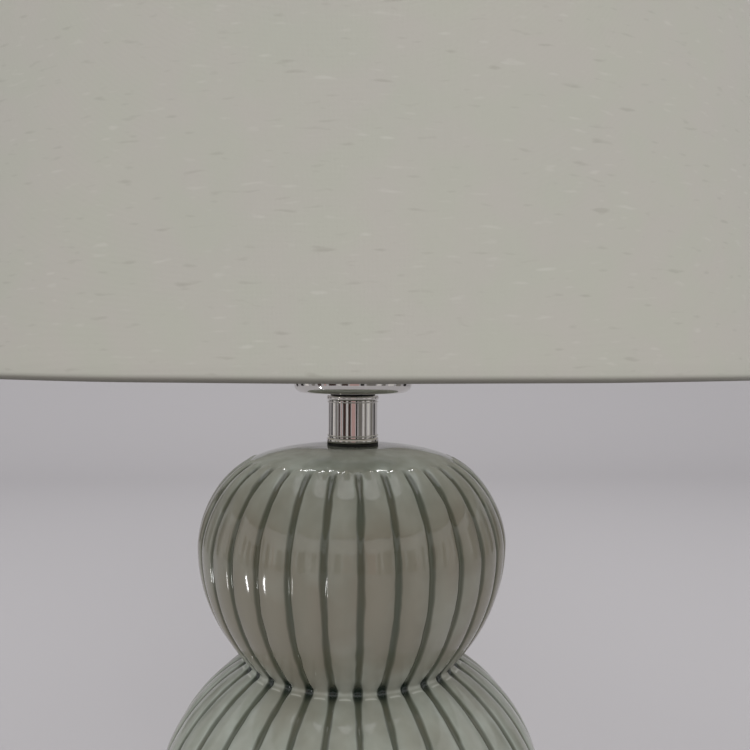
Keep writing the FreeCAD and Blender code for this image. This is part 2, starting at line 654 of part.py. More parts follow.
def switch_shaft():
    """The steel shaft of the turn key."""
    start = Vector(0, -CORE_RADIUS + SWITCH_SHAFT_DEPTH, SWITCH_Z)
    length = SWITCH_SHAFT_DEPTH + SOCKET_CAP_RADIUS - CORE_RADIUS + SWITCH_REACH
    return Part.makeCylinder(SWITCH_SHAFT_RADIUS, length, start, FRONT)


def switch_knob():
    """The fluted knob on the end of the shaft."""
    start = Vector(0, -SOCKET_CAP_RADIUS - SWITCH_REACH, SWITCH_Z)
    knob = Part.makeCylinder(KNOB_RADIUS, KNOB_LENGTH, start, FRONT)
    round_edges = [edge for edge in knob.Edges if abs(edge.Length - 2 * math.pi * KNOB_RADIUS) < 1e-3]
    knob = knob.makeFillet(KNOB_RADIUS / 8, round_edges)
    flutes = []
    for index in range(KNOB_FLUTES):
        angle = 2 * math.pi * index / KNOB_FLUTES
        offset = Vector(math.cos(angle), 0, math.sin(angle)) * (KNOB_RADIUS + KNOB_RADIUS / 16)
        flutes.append(Part.makeCylinder(KNOB_RADIUS / 8, KNOB_LENGTH + 2 * PAST, start + offset - FRONT * PAST, FRONT))
    return knob.cut(flutes)


# ---------------------------------------------------------------- bulb

def bulb_glass():
    """The frosted glass envelope, open at the neck."""
    crown = BULB_Z + BULB_LENGTH
    centre = crown - BULB_RADIUS
    slope = math.sqrt(0.5)
    neck_height = centre - BULB_NECK_Z

    def outline(inset):
        radius = BULB_RADIUS - inset
        neck = BULB_BASE_RADIUS - inset
        swell = [(neck, BULB_NECK_Z), (neck, BULB_NECK_Z + 0.1 * neck_height)]
        spread = radius - neck
        swell += [(neck + 0.22 * spread, BULB_NECK_Z + 0.34 * neck_height),
                  (neck + 0.8 * spread, BULB_NECK_Z + 0.72 * neck_height), (radius, centre)]
        dome = [(radius, centre), (radius * slope, centre + radius * slope), (0, centre + radius)]
        return swell, dome

    swell, dome = outline(0)
    inner_swell, inner_dome = outline(GLASS_WALL)
    return turned(swell, dome, [dome[-1], inner_dome[-1]], inner_dome[::-1], inner_swell[::-1],
                  [inner_swell[0], swell[0]])


def bulb():
    """The bulb: glass, threaded metal base and tip contact."""
    radius = BULB_BASE_RADIUS
    wall = BULB_BASE_WALL
    tip = CONTACT_RADIUS + SLIP_FIT
    floor = BULB_Z + CONTACT_HEIGHT
    base = turned_flat([
        (tip, BULB_Z + wall), (tip + wall, BULB_Z + wall), (radius, floor + wall), (radius, BULB_NECK_Z),
        (radius - 2 * wall, BULB_NECK_Z), (radius - 2 * wall, floor + 2 * wall), (tip, floor + 2 * wall),
    ])
    return {
        "bulb_glass": bulb_glass(),
        "bulb_base": base,
        "bulb_tip_contact": drum(CONTACT_RADIUS, BULB_Z, floor + wall),
    }


# ---------------------------------------------------------------- shade

def shade_radius(height):
    """Radius of the fabric's outer face at a height."""
    share = (height - SHADE_Z) / SHADE_HEIGHT
    return SHADE_BOTTOM_RADIUS + share * (SHADE_TOP_RADIUS - SHADE_BOTTOM_RADIUS)


def rim_wire_place(is_top):
    """Radius and height of a rim wire's centre: it lies inside the lining, on the hem."""
    rim = SHADE_TOP_Z if is_top else SHADE_Z
    inwards = -1 if is_top else 1
    height = rim + inwards * (FABRIC_THICKNESS + SLIP_FIT + SHADE_WIRE_RADIUS)
    upper_edge = height + SHADE_WIRE_RADIUS
    lining_inside = shade_radius(upper_edge) - FABRIC_THICKNESS - LINING_THICKNESS - 2 * SLIP_FIT
    return lining_inside - SHADE_WIRE_RADIUS, height


def rim_wire(is_top):
    """The wire ring in one rim of the shade."""
    radius, height = rim_wire_place(is_top)
    return Part.makeTorus(radius, SHADE_WIRE_RADIUS, Vector(0, 0, height))


def shade_lining():
    """The stiff white sheet that the fabric is laminated on, from hem to hem."""
    bottom = SHADE_Z + FABRIC_THICKNESS + STACK_GAP
    top = SHADE_TOP_Z - FABRIC_THICKNESS - STACK_GAP
    outer_inset = FABRIC_THICKNESS + STACK_GAP
    inner_inset = outer_inset + LINING_THICKNESS
    return turned_flat([
        (shade_radius(bottom) - outer_inset, bottom), (shade_radius(top) - outer_inset, top),
        (shade_radius(top) - inner_inset, top), (shade_radius(bottom) - inner_inset, bottom),
    ])


def shade_fabric():
    """The fabric face, turned in under each rim and up behind the rim wire."""
    cloth = FABRIC_THICKNESS
    behind = SHADE_WIRE_RADIUS + SLIP_FIT
    low_wire = rim_wire_place(False)[0] - behind
    high_wire = rim_wire_place(True)[0] - behind
    low_turn = SHADE_Z + HEM_TURN
    high_turn = SHADE_TOP_Z - HEM_TURN
    fabric = turned_flat([
        (SHADE_BOTTOM_RADIUS, SHADE_Z), (SHADE_TOP_RADIUS, SHADE_TOP_Z), (high_wire - cloth, SHADE_TOP_Z),
        (high_wire - cloth, high_turn), (high_wire, high_turn), (high_wire, SHADE_TOP_Z - cloth),
        (shade_radius(SHADE_TOP_Z - cloth) - cloth, SHADE_TOP_Z - cloth),
        (shade_radius(SHADE_Z + cloth) - cloth, SHADE_Z + cloth), (low_wire, SHADE_Z + cloth),
        (low_wire, low_turn), (low_wire - cloth, low_turn), (low_wire - cloth, SHADE_Z),
    ])
    return fabric.cut(spider_arms(SPIDER_ARM_RADIUS + LOOSE_GAP))


def spider_arms(wire_radius):
    """The arms from the hub to the upper rim wire, one towards the back."""
    ring_radius, ring_z = rim_wire_place(True)
    arm_z = HUB_Z + SPIDER_HUB_THICKNESS / 2
    bend_radius = ring_radius - SHADE_WIRE_RADIUS - SPIDER_SLOPE_RUN
    arms = []
    for index in range(SPIDER_ARMS):
        angle = math.radians(90 + 360 / SPIDER_ARMS * index)
        outwards = Vector(math.cos(angle), math.sin(angle), 0)
        route = [
            (outwards * (SPIDER_HUB_RADIUS - SPIDER_ARM_RADIUS) + UP * arm_z, 0),
            (outwards * bend_radius + UP * arm_z, SPIDER_BEND_RADIUS),
            (outwards * ring_radius + UP * ring_z, 0),
        ]
        arms.append(bent_wire(route, wire_radius))
    return arms


def spider():
    """The hub and its arms, welded to the upper rim wire."""
    hub = washer(SPIDER_HUB_RADIUS, STUD_RADIUS + RUNNING_FIT, HUB_Z, SPIDER_HUB_THICKNESS)
    return hub.fuse(spider_arms(SPIDER_ARM_RADIUS)).removeSplitter().cut(rim_wire(True))


def shade():
    """The drum shade with its rim wires and spider."""
    return {
        "shade_fabric": shade_fabric(),
        "shade_lining": shade_lining().cut(spider_arms(SPIDER_ARM_RADIUS + SLIP_FIT)),
        "shade_top_wire": rim_wire(True),
        "shade_bottom_wire": rim_wire(False),
        "shade_spider": spider(),
    }


# ---------------------------------------------------------------- finial

def finial():
    """The turned finial: a foot, a neck and a ball, with a blind threaded hole."""
    foot_top = FINIAL_Z + 0.18 * FINIAL_HEIGHT
    neck_z = FINIAL_Z + 0.3 * FINIAL_HEIGHT
    centre = FINIAL_Z + FINIAL_HEIGHT - FINIAL_BALL_RADIUS
    drop = math.sqrt(FINIAL_BALL_RADIUS ** 2 - FINIAL_NECK_RADIUS ** 2)
    ball = [(FINIAL_NECK_RADIUS, centre - drop), (FINIAL_BALL_RADIUS, centre), (0, centre + FINIAL_BALL_RADIUS)]
    foot_edge = (FINIAL_BASE_RADIUS, foot_top)
    neck_foot = (FINIAL_NECK_RADIUS, neck_z)
    waist = ((FINIAL_BASE_RADIUS + 3 * FINIAL_NECK_RADIUS) / 4, (foot_top + neck_z) / 2)
    shape = turned([(0, FINIAL_Z), (FINIAL_BASE_RADIUS, FINIAL_Z)], [(FINIAL_BASE_RADIUS, FINIAL_Z), foot_edge],
                   [foot_edge, waist, neck_foot], [neck_foot, ball[0]], ball, [ball[-1], (0, FINIAL_Z)])
    depth = SEAT_Z + STUD_HEIGHT + LOOSE_GAP - FINIAL_Z
    return shape.cut(drum(STUD_RADIUS + RUNNING_FIT, FINIAL_Z - PAST, FINIAL_Z + depth))


def build():
    """Every piece of the lamp, by its name."""
    pieces = {
        "felt_foot_ring": felt_foot_ring(),
        "ceramic_body": ceramic_body(),
        "cord_bushing": cord_bushing(),
        "switch_shaft": switch_shaft(),
        "switch_knob": switch_knob().cut(switch_shaft()),
        "finial_washer": washer(FINIAL_WASHER_RADIUS, STUD_RADIUS + RUNNING_FIT, FINIAL_WASHER_Z,
                                FINIAL_WASHER_THICKNESS),
        "finial": finial(),
    }
    for group in (clamping_stack(), neck(), harp(), socket(), bulb(), shade()):
        pieces.update(group)
    return pieces


os.makedirs("parts", exist_ok=True)
for name, shape in build().items():
    shape.exportStep(f"parts/{name}.step")
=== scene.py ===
"""Ribbed double-gourd table lamp: finishes, glaze and shade cloth around the lamp's fixed frame."""
import math

import bmesh
import bpy
import numpy as np
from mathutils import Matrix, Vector, noise


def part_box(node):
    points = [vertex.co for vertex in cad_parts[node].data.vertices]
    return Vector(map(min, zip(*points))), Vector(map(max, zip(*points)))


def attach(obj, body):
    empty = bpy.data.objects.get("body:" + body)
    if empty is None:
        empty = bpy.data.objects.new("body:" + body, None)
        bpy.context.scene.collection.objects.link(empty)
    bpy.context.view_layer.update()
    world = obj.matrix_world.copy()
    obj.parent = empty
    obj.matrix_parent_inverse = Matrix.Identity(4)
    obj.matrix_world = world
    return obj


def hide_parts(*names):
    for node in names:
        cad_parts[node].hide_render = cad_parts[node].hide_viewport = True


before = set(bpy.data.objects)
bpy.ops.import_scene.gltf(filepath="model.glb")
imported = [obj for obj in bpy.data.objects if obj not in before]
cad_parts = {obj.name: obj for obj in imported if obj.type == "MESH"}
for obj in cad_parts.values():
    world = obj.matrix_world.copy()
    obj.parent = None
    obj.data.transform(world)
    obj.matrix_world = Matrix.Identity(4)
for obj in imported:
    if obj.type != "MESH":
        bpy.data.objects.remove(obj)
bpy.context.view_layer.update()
scene = bpy.context.scene
MM = 0.001    # metres in a millimetre


# ---------------------------------------------------------------- camera
# Eye level with the shade's lower rim, 430 mm from the lamp's axis and a little to its left.
# The horizon lies just above the picture's middle, and the lamp stands left of the middle.
frame_width_px = 750
focal_px = 850
sensor_width_mm = 36
camera_distance_mm = 430
camera_height_mm = 304.9
camera_azimuth = math.radians(-2.9)
camera_turn = math.radians(-1.48)
camera_dip = math.radians(-1.2)
camera_roll = math.radians(-0.25)

camera_data = bpy.data.cameras.new("camera")
camera_data.sensor_width = sensor_width_mm
camera_data.lens = focal_px / frame_width_px * sensor_width_mm
camera_data.clip_start = 0.01
camera = bpy.data.objects.new("camera", camera_data)
camera.location = (
    math.sin(camera_azimuth) * camera_distance_mm * MM,
    -math.cos(camera_azimuth) * camera_distance_mm * MM,
    camera_height_mm * MM,
)
camera.rotation_euler = (math.radians(90) + camera_dip, camera_roll, camera_azimuth + camera_turn)
scene.collection.objects.link(camera)
scene.camera = camera


# ---------------------------------------------------------------- studio
# A pale sweep of matt paper: a floor, a large bend and an upright back, each so wide that they only
# show as an even grey ground. Beyond them the camera sees the same grey.
def linear(hex_colour):
    """An sRGB hex colour as linear red, green, blue and alpha."""
    channels = []
    for start in (1, 3, 5):
        value = int(hex_colour[start:start + 2], 16) / 255
        channels.append(value / 12.92 if value <= 0.04045 else ((value + 0.055) / 1.055) ** 2.4)
    return (*channels, 1.0)


def add_node(material, kind, inputs=None, **settings):
    """Adds a node: settings are its own properties, inputs are values or sockets by name or index."""
    tree = material.node_tree
    made = tree.nodes.new("ShaderNode" + kind)
    for name, value in settings.items():
        setattr(made, name, value)
    for name, value in (inputs or {}).items():
        if isinstance(value, bpy.types.NodeSocket):
            tree.links.new(value, made.inputs[name])
        else:
            made.inputs[name].default_value = value
    return made


def start_material(name):
    """An empty node material."""
    material = bpy.data.materials.new(name)
    material.use_nodes = True
    material.node_tree.nodes.clear()
    return material


def finish_material(material, shader):
    """Links a shader to the material's output."""
    add_node(material, "OutputMaterial", {"Surface": shader})


def mesh_object(name, points, faces, material):
    """A smooth-shaded mesh piece from points in millimetres."""
    mesh = bpy.data.meshes.new(name)
    mesh.from_pydata([tuple(value * MM for value in point) for point in points], [], faces)
    mesh.polygons.foreach_set("use_smooth", [True] * len(mesh.polygons))
    mesh.materials.append(material)
    made = bpy.data.objects.new(name, mesh)
    scene.collection.objects.link(made)
    return made


sweep_colour = "#B2AFB1"
paper = start_material("matt studio paper")
paper_surface = add_node(paper, "BsdfPrincipled", {
    "Base Color": linear(sweep_colour), "Roughness": 0.9, "Specular IOR Level": 0.2})
finish_material(paper, paper_surface.outputs[0])

sweep_side_mm = 12000
sweep_reach_mm = 2600
sweep_bend_mm = 900
sweep_top_mm = 3200
bend_steps = 12
sweep_line = [(-sweep_side_mm, 0), (sweep_reach_mm - sweep_bend_mm, 0)]
for bend_step in range(1, bend_steps + 1):
    bend_turn = math.pi / 2 * bend_step / bend_steps
    sweep_line.append((sweep_reach_mm - sweep_bend_mm + sweep_bend_mm * math.sin(bend_turn),
                       sweep_bend_mm - sweep_bend_mm * math.cos(bend_turn)))
sweep_line.append((sweep_reach_mm, sweep_top_mm))
sweep_points = [(side * sweep_side_mm, y, z) for y, z in sweep_line for side in (-1, 1)]
sweep_faces = [(2 * i, 2 * i + 1, 2 * i + 3, 2 * i + 2) for i in range(len(sweep_line) - 1)]
sweep = mesh_object("studio_sweep", sweep_points, sweep_faces, paper)

# Light: an even pale room, a large soft panel overhead and a second far in front. Their levels add
# up to about one, so that a colour renders about as it is written. A tube behind and a small one low
# on the left only draw the glaze's highlights: arcs at the ribs' upper ends, and dashes on the left.
world = bpy.data.worlds.new("studio")
world.use_nodes = True
world.node_tree.nodes.clear()
room_light = add_node(world, "Background", {"Color": (0.985, 0.99, 1.0, 1), "Strength": 0.85})
seen_ground = add_node(world, "Background", {"Color": linear("#B4B2B4"), "Strength": 1.0})
by_camera = add_node(world, "LightPath").outputs["Is Camera Ray"]
room = add_node(world, "MixShader", {0: by_camera, 1: room_light.outputs[0], 2: seen_ground.outputs[0]})
add_node(world, "OutputWorld", {"Surface": room.outputs[0]})
scene.world = world


def soft_panel(name, place_mm, aim_mm, width_mm, height_mm, watts, mirrored=True, spread_degrees=180):
    """A rectangular light that the camera doesn't see; polished faces mirror it unless told otherwise."""
    light = bpy.data.lights.new(name, "AREA")
    light.shape = "RECTANGLE"
    light.size = width_mm * MM
    light.size_y = height_mm * MM
    light.energy = watts
    light.spread = math.radians(spread_degrees)
    made = bpy.data.objects.new(name, light)
    made.location = Vector(place_mm) * MM
    made.rotation_euler = (Vector(aim_mm) - Vector(place_mm)).to_track_quat("-Z", "Y").to_euler()
    made.visible_camera = False
    made.visible_glossy = mirrored
    scene.collection.objects.link(made)


soft_panel("overhead_panel", (0, -100, 2300), (0, 0, 250), 1500, 1500, 6)
soft_panel("front_panel", (300, -5000, 2700), (0, 0, 300), 3200, 2400, 24, mirrored=False,
           spread_degrees=90)
soft_panel("rear_tube", (0, 1000, 1950), (0, 0, 250), 900, 60, 7)
soft_panel("low_left_tube", (-423, -154, 52), (0, 0, 190), 11, 66, 0.012, spread_degrees=40)


# Cards on stands round the lamp, dark, rosy, grey and white: the polished neck mirrors them as the
# fine upright streaks of a furnished room. Each stands at an azimuth, positive to the right.
def card(name, azimuth_degrees, width_degrees, colour):
    """An upright card at a distance from the lamp."""
    distance_mm = 1500
    height_mm = 620
    matt_card = start_material(name)
    surface = add_node(matt_card, "BsdfPrincipled", {"Base Color": linear(colour), "Roughness": 0.9})
    finish_material(matt_card, surface.outputs[0])
    points = []
    for edge in (-0.5, 0.5):
        angle = math.radians(azimuth_degrees + edge * width_degrees)
        for height in (0, height_mm):
            points.append((math.sin(angle) * distance_mm, -math.cos(angle) * distance_mm, height))
    made = mesh_object(name, points, [(0, 1, 3, 2)], matt_card)
    made.visible_camera = False
    made.visible_diffuse = False
    made.visible_shadow = False


dark = "#211D1A"
brown = "#4A352E"
rosy = "#E2BDB8"
grey = "#8D8A84"
white = "#FAF8F4"
cards = [
    (-140, 9, dark), (-117, 9, dark), (-102, 10, white), (-84, 8, grey), (-69, 8, brown), (-57, 4, rosy),
    (-42, 14, brown), (-29, 6, white), (-18, 12, brown), (0, 18, rosy), (15, 7, dark), (32, 18, grey),
    (48, 8, white), (58, 8, grey), (75, 14, white), (95, 14, grey), (117, 11, dark),
]
for card_number, (azimuth_degrees, width_degrees, colour) in enumerate(cards):
    card(f"card_{card_number}", azimuth_degrees, width_degrees, colour)


# ---------------------------------------------------------------- ceramic body
# Slip-cast stoneware in two bulbs, its 30 ribs cast in, fired with a glossy celadon glaze.
# The glaze breaks pale and warm over the ribs and pools dark in the grooves; the grooves are almost black
# where they meet the waist.
body_low, body_high = (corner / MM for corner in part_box("ceramic_body"))
foot_radius = 66
foot_height = 9
foot_ring_width = 10
foot_recess = 8
floor_thickness = 6
floor_hole_radius = 36
rod_hole_radius = 5.15
wall = 6
lower_radius = 98
lower_equator = body_low.z + 76
waist_radius = 52.6
waist_z = body_low.z + 152
upper_radius = 77.1
upper_equator = body_low.z + 211.4
shoulder_radius = 52
rib_count = 30
rib_crown = 0.5
rib_rise = 0.5
groove_depth = 1.5
groove_half_width = 1.95
fine_spacing = 0.6             # rings of points near the shoulder and the waist
coarse_spacing = 1.9
axis_radius = 0.01
top_powers = (3.9, 1.6)        # each bulb is fuller than a circle above 2 and slimmer below it
upper_powers = (1.32, 2.08)
lower_powers = (2.02, 2.09)
foot_powers = (2.0, 2.2)


def quarter_outline(radius, equator, edge_radius, edge_z, side_power, end_power):
    """A bulb's outline from its equator to an edge: the superellipse that the casting follows."""
    steps = 240
    edge_turn = math.acos((edge_radius / radius) ** (side_power / 2))
    reach = (edge_z - equator) / math.sin(edge_turn) ** (2 / end_power)
    turns = np.linspace(0, edge_turn, steps)
    return np.column_stack([radius * np.cos(turns) ** (2 / side_power),
                            equator + reach * np.sin(turns) ** (2 / end_power)])


def graded(line, fine_places, reach=6):
    """The same line with points at even distances, closer within a reach of the fine places."""
    lengths = np.concatenate([[0], np.cumsum(np.hypot(*np.diff(line, axis=0).T))])
    places = [0.0]
    while places[-1] < lengths[-1] - fine_spacing / 2:
        near = min(abs(places[-1] - lengths[fine]) for fine in fine_places)
        places.append(places[-1] + (fine_spacing if near < reach else coarse_spacing))
    places[-1] = lengths[-1]
    return np.column_stack([np.interp(places, lengths, line[:, axis]) for axis in (0, 1)])


def smooth_step(low, high, value):
    """0 below low, 1 above high, and an even S between them."""
    share = np.clip((value - low) / (high - low), 0, 1)
    return share * share * (3 - 2 * share)


# The outline, from the rod's hole at the top down to the foot: two bulbs that meet at the waist.
top_line = quarter_outline(upper_radius, upper_equator, axis_radius, body_high.z, *top_powers)[::-1]
top_line = top_line[top_line[:, 0] > rod_hole_radius]
upper_line = quarter_outline(upper_radius, upper_equator, waist_radius, waist_z, *upper_powers)
lower_line = quarter_outline(lower_radius, lower_equator, waist_radius, waist_z, *lower_powers)[::-1]
foot_top = body_low.z + foot_height
foot_line = quarter_outline(lower_radius, lower_equator, foot_radius, foot_top, *foot_powers)
upper_side = np.vstack([top_line, upper_line[1:]])
lower_side = np.vstack([lower_line, foot_line[1:]])
shoulder_point = int(np.argmax(upper_side[:, 0] > shoulder_radius))
upper_part = graded(upper_side, [shoulder_point, len(upper_side) - 1])
lower_part = graded(lower_side, [0])
waist_ring = len(upper_part) - 1
outline = np.vstack([upper_part, lower_part[1:]])
softened_rings = 4
softening_rounds = 10
for softening in range(softening_rounds):    # the glaze fills the sharp corner at the waist a little
    near = slice(waist_ring - softened_rings, waist_ring + softened_rings + 1)
    above = outline[near.start - 1:near.stop - 1]
    below = outline[near.start + 1:near.stop + 1]
    outline[near] = (above + below + 2 * outline[near]) / 4
along = np.gradient(outline, axis=0)
along /= np.hypot(along[:, 0], along[:, 1])[:, None]
outwards = np.column_stack([-along[:, 1], along[:, 0]])
distance = np.concatenate([[0], np.cumsum(np.hypot(*np.diff(outline, axis=0).T))])
shoulder_ring = int(np.argmax(outline[:, 0] > shoulder_radius))
from_shoulder = distance - distance[shoulder_ring]
below_waist = distance - distance[waist_ring]
above_foot = distance[-1] - distance

# Round the body, each ring has nine points across every groove and seven over every rib.
in_groove = np.linspace(-1, 1, 9)
over_rib = np.array([0.07, 0.18, 0.34, 0.5, 0.66, 0.82, 0.93])
columns = []                   # (rib number, place in the groove or None, place over the rib or None)
for rib in range(rib_count):
    columns += [(rib, place, None) for place in in_groove]
    columns += [(rib, None, place) for place in over_rib]

# The skin: the rings' points, pressed in at the grooves, and masks for the grooves, the rib crowns, the
# waist and a painted highlight line below it.
pitch = 2 * math.pi / rib_count
top_rise_radii = (20, 42)      # the plain top climbs to the ribs' height between these radii
top_reach = 14                 # the rest are distances along the surface
groove_start = (-1.5, 4)
arch_start = (1.2, 3.2)
arch_lead = 4                  # a rib's middle starts this much higher than its edges
foot_fade_reach = (2, 12)
crease_reach = 3.5
# Painted highlight: a thin pale line across the rib crowns, this far below the waist and this wide.
highlight_line_below = 2.4
highlight_line_reach = 0.45
slow_wander = 0.35
quick_wander = 0.12
width_change = 0.25
crease_widening = 0.3
skin = []
masks = {"groove": [], "crown": [], "crease": [], "painted_highlight_line": []}
for ring, (radius, height) in enumerate(outline):
    rise_here = rib_rise * (smooth_step(*top_rise_radii, radius) if from_shoulder[ring] < top_reach else 1)
    foot_fade = smooth_step(*foot_fade_reach, above_foot[ring])
    groove_fade = smooth_step(*groove_start, from_shoulder[ring]) * foot_fade
    crease = math.exp(-(below_waist[ring] / crease_reach) ** 2)
    highlight_line_band = math.exp(-((below_waist[ring] - highlight_line_below) / highlight_line_reach) ** 2)
    for rib, groove_place, rib_place in columns:
        wander = slow_wander * noise.noise(Vector((rib * 3.7, distance[ring] * 0.06, 1.5)))
        wander += quick_wander * noise.noise(Vector((rib * 2.3, distance[ring] * 0.24, 4.5)))
        width = 1 + width_change * noise.noise(Vector((rib * 5.1, distance[ring] * 0.13, 8.5)))
        width += crease_widening * crease
        half_angle = min(groove_half_width * width / radius, pitch * 0.3)
        centre = -math.pi / 2 + rib * pitch + min(wander / radius, pitch * 0.1)
        if groove_place is not None:
            angle = centre + groove_place * half_angle
            crown = 0.0
            depth = math.cos(groove_place * math.pi / 2)
        else:
            angle = centre + half_angle + rib_place * (pitch - 2 * half_angle)
            crown = 1 - (2 * rib_place - 1) ** 2
            depth = 0.0
        arch_low, arch_high = (start - arch_lead * crown for start in arch_start)
        arch = smooth_step(arch_low, arch_high, from_shoulder[ring]) * foot_fade
        lift = -rise_here * (1 - arch) * smooth_step(0, 1, foot_fade)
        lift -= rib_crown * (1 - crown) * arch + (groove_depth - rib_crown) * depth * groove_fade
        point_radius = radius + lift * outwards[ring, 0]
        skin.append((point_radius * math.cos(angle), point_radius * math.sin(angle),
                     height + lift * outwards[ring, 1]))
        masks["groove"].append(smooth_step(0, 0.6, depth) * groove_fade)
        masks["crown"].append(crown * arch)
        masks["crease"].append(crease)
        masks["painted_highlight_line"].append(highlight_line_band * smooth_step(0.2, 0.7, crown))

# Below the ribs: the plain foot ring, the recess, the floor's hole and the unglazed hollow inside.
foot_bend = foot_ring_width / 5
foot_inside = foot_radius - foot_ring_width
recess_z = body_low.z + foot_recess
floor_z = recess_z + floor_thickness
inside_line = [
    (floor_hole_radius, floor_z), (foot_radius - wall, floor_z), (lower_radius - wall, lower_equator),
    (waist_radius - wall - 2, waist_z), (upper_radius - wall, upper_equator),
    (shoulder_radius - wall, body_high.z - 2 * wall), (rod_hole_radius, body_high.z - wall),
]
plain_rings = [
    (foot_radius, foot_top), (foot_radius, body_low.z + foot_bend),
    (foot_radius - 0.3 * foot_bend, body_low.z + 0.3 * foot_bend), (foot_radius - foot_bend, body_low.z),
    (foot_inside, body_low.z), (foot_inside, recess_z), (floor_hole_radius, recess_z), *inside_line,
]
last_ring = skin[-len(columns):]
for radius, height in plain_rings:
    for x, y, z in last_ring:
        reach = math.hypot(x, y)
        skin.append((x / reach * radius, y / reach * radius, height))
for values in masks.values():
    values += [0.0] * (len(skin) - len(values))


def ring_faces(ring_total, column_total):
    """Quads between closed rings of points; the last ring joins the first."""
    faces = []
    for ring in range(ring_total):
        here = ring * column_total
        below = (ring + 1) % ring_total * column_total
        for column in range(column_total):
            following = (column + 1) % column_total
            faces.append((here + column, below + column, below + following, here + following))
    return faces


# The glaze: warm on the bulbs' sides, with slow runs and random greener clouds. At the top and under the
# waist it is greener and paler, a painted reflection of the pale shade lining above.
celadon = start_material("celadon glaze on stoneware")
place = add_node(celadon, "TexCoord").outputs["Object"]
height_of = add_node(celadon, "SeparateXYZ", {0: place}).outputs["Z"]
groove = add_node(celadon, "Attribute", attribute_name="groove").outputs["Fac"]
crown_of = add_node(celadon, "Attribute", attribute_name="crown").outputs["Fac"]
crease_of = add_node(celadon, "Attribute", attribute_name="crease").outputs["Fac"]
highlight_line_of = add_node(celadon, "Attribute", attribute_name="painted_highlight_line").outputs["Fac"]
cloud_size_mm = 38
run_width_mm = 9
ripple_size_mm = 14
# Painted reflection: the heights over which the glaze is made greener and paler, at the top and under the
# waist.
top_reflection_mm = (228, 258)    # heights over which the glaze turns greener towards the top
low_reflection_mm = (175, 140)    # and again from under the waist downwards


def noise_scale(feature_mm):
    """The noise texture's scale for features of a real size."""
    return 1 / (feature_mm * MM)


clouds = add_node(celadon, "TexNoise", {
    "Vector": place, "Scale": noise_scale(cloud_size_mm), "Detail": 3.0})
stretched = add_node(celadon, "Mapping", {"Vector": place, "Scale": (1, 1, 0.12)})
runs = add_node(celadon, "TexNoise", {
    "Vector": stretched.outputs[0], "Scale": noise_scale(run_width_mm), "Detail": 2.0})
# Painted reflection: the top and the part under the waist are mixed towards the paler green, and random
# clouds are added.
painted_top_reflection = add_node(celadon, "MapRange", {
    "Value": height_of, "From Min": top_reflection_mm[0] * MM, "From Max": top_reflection_mm[1] * MM})
painted_low_reflection = add_node(celadon, "MapRange", {
    "Value": height_of, "From Min": low_reflection_mm[0] * MM, "From Max": low_reflection_mm[1] * MM})
painted_reflection_zone = add_node(celadon, "Math", {
    0: painted_top_reflection.outputs[0], 1: painted_low_reflection.outputs[0]}, operation="MAXIMUM")
cloud_share = add_node(celadon, "MapRange", {
    "Value": clouds.outputs["Fac"], "From Min": 0.35, "From Max": 0.65, "To Min": -0.35, "To Max": 0.35})
cloud_and_reflection_share = add_node(celadon, "Math", {
    0: painted_reflection_zone.outputs[0], 1: cloud_share.outputs[0]}, operation="ADD", use_clamp=True)
ground = add_node(celadon, "Mix", {
    "Factor": cloud_and_reflection_share.outputs[0], "A": linear("#797467"), "B": linear("#9AA097")}, data_type="RGBA")
run_share = add_node(celadon, "MapRange", {
    "Value": runs.outputs["Fac"], "From Min": 0.3, "From Max": 0.75, "To Min": 0.0, "To Max": 0.5})
run_tone = add_node(celadon, "Mix", {
    "Factor": run_share.outputs[0], "A": ground.outputs["Result"], "B": linear("#6C6C5F")},
    data_type="RGBA")
thin_share = add_node(celadon, "MapRange", {"Value": crown_of, "To Min": 0.0, "To Max": 0.25})
thin_glaze = add_node(celadon, "Mix", {
    "Factor": thin_share.outputs[0], "A": run_tone.outputs["Result"], "B": linear("#8C887A")},
    data_type="RGBA")
pool_green = add_node(celadon, "Mix", {
    "Factor": runs.outputs["Fac"], "A": linear("#4B4634"), "B": linear("#3B463B")}, data_type="RGBA")
pool_share = add_node(celadon, "MapRange", {"Value": groove, "To Min": 0.0, "To Max": 0.9})
pooled = add_node(celadon, "Mix", {
    "Factor": pool_share.outputs[0], "A": thin_glaze.outputs["Result"], "B": pool_green.outputs["Result"]},
    data_type="RGBA")
# The grooves turn almost black near the waist.
deep_share = add_node(celadon, "Math", {0: groove, 1: crease_of}, operation="MULTIPLY")
waist_tone = add_node(celadon, "Mix", {
    "Factor": deep_share.outputs[0], "A": pooled.outputs["Result"], "B": linear("#131D17")},
    data_type="RGBA")
# Painted highlight: the thin pale line below the waist, mixed in almost white.
highlight_line_share = add_node(celadon, "MapRange", {"Value": highlight_line_of, "To Min": 0.0, "To Max": 0.5})
glaze_tone = add_node(celadon, "Mix", {
    "Factor": highlight_line_share.outputs[0], "A": waist_tone.outputs["Result"], "B": linear("#D4D5CB")},
    data_type="RGBA")
ripples = add_node(celadon, "TexNoise", {
    "Vector": place, "Scale": noise_scale(ripple_size_mm), "Detail": 1.0})
glaze_bump = add_node(celadon, "Bump", {
    "Height": ripples.outputs["Fac"], "Strength": 0.25, "Distance": 1.2 * MM})
glaze = add_node(celadon, "BsdfPrincipled", {
    "Base Color": glaze_tone.outputs["Result"], "Roughness": 0.09, "IOR": 1.52,
    "Normal": glaze_bump.outputs[0]})
finish_material(celadon, glaze.outputs[0])

body_faces = ring_faces(len(outline) + len(plain_rings), len(columns))
body = mesh_object("glazed_body", skin, body_faces, celadon)


def face_outwards(mesh):
    """Turns a closed mesh's faces outwards."""
    faces = bmesh.new()
    faces.from_mesh(mesh)
    bmesh.ops.recalc_face_normals(faces, faces=faces.faces)
    faces.to_mesh(mesh)
    faces.free()


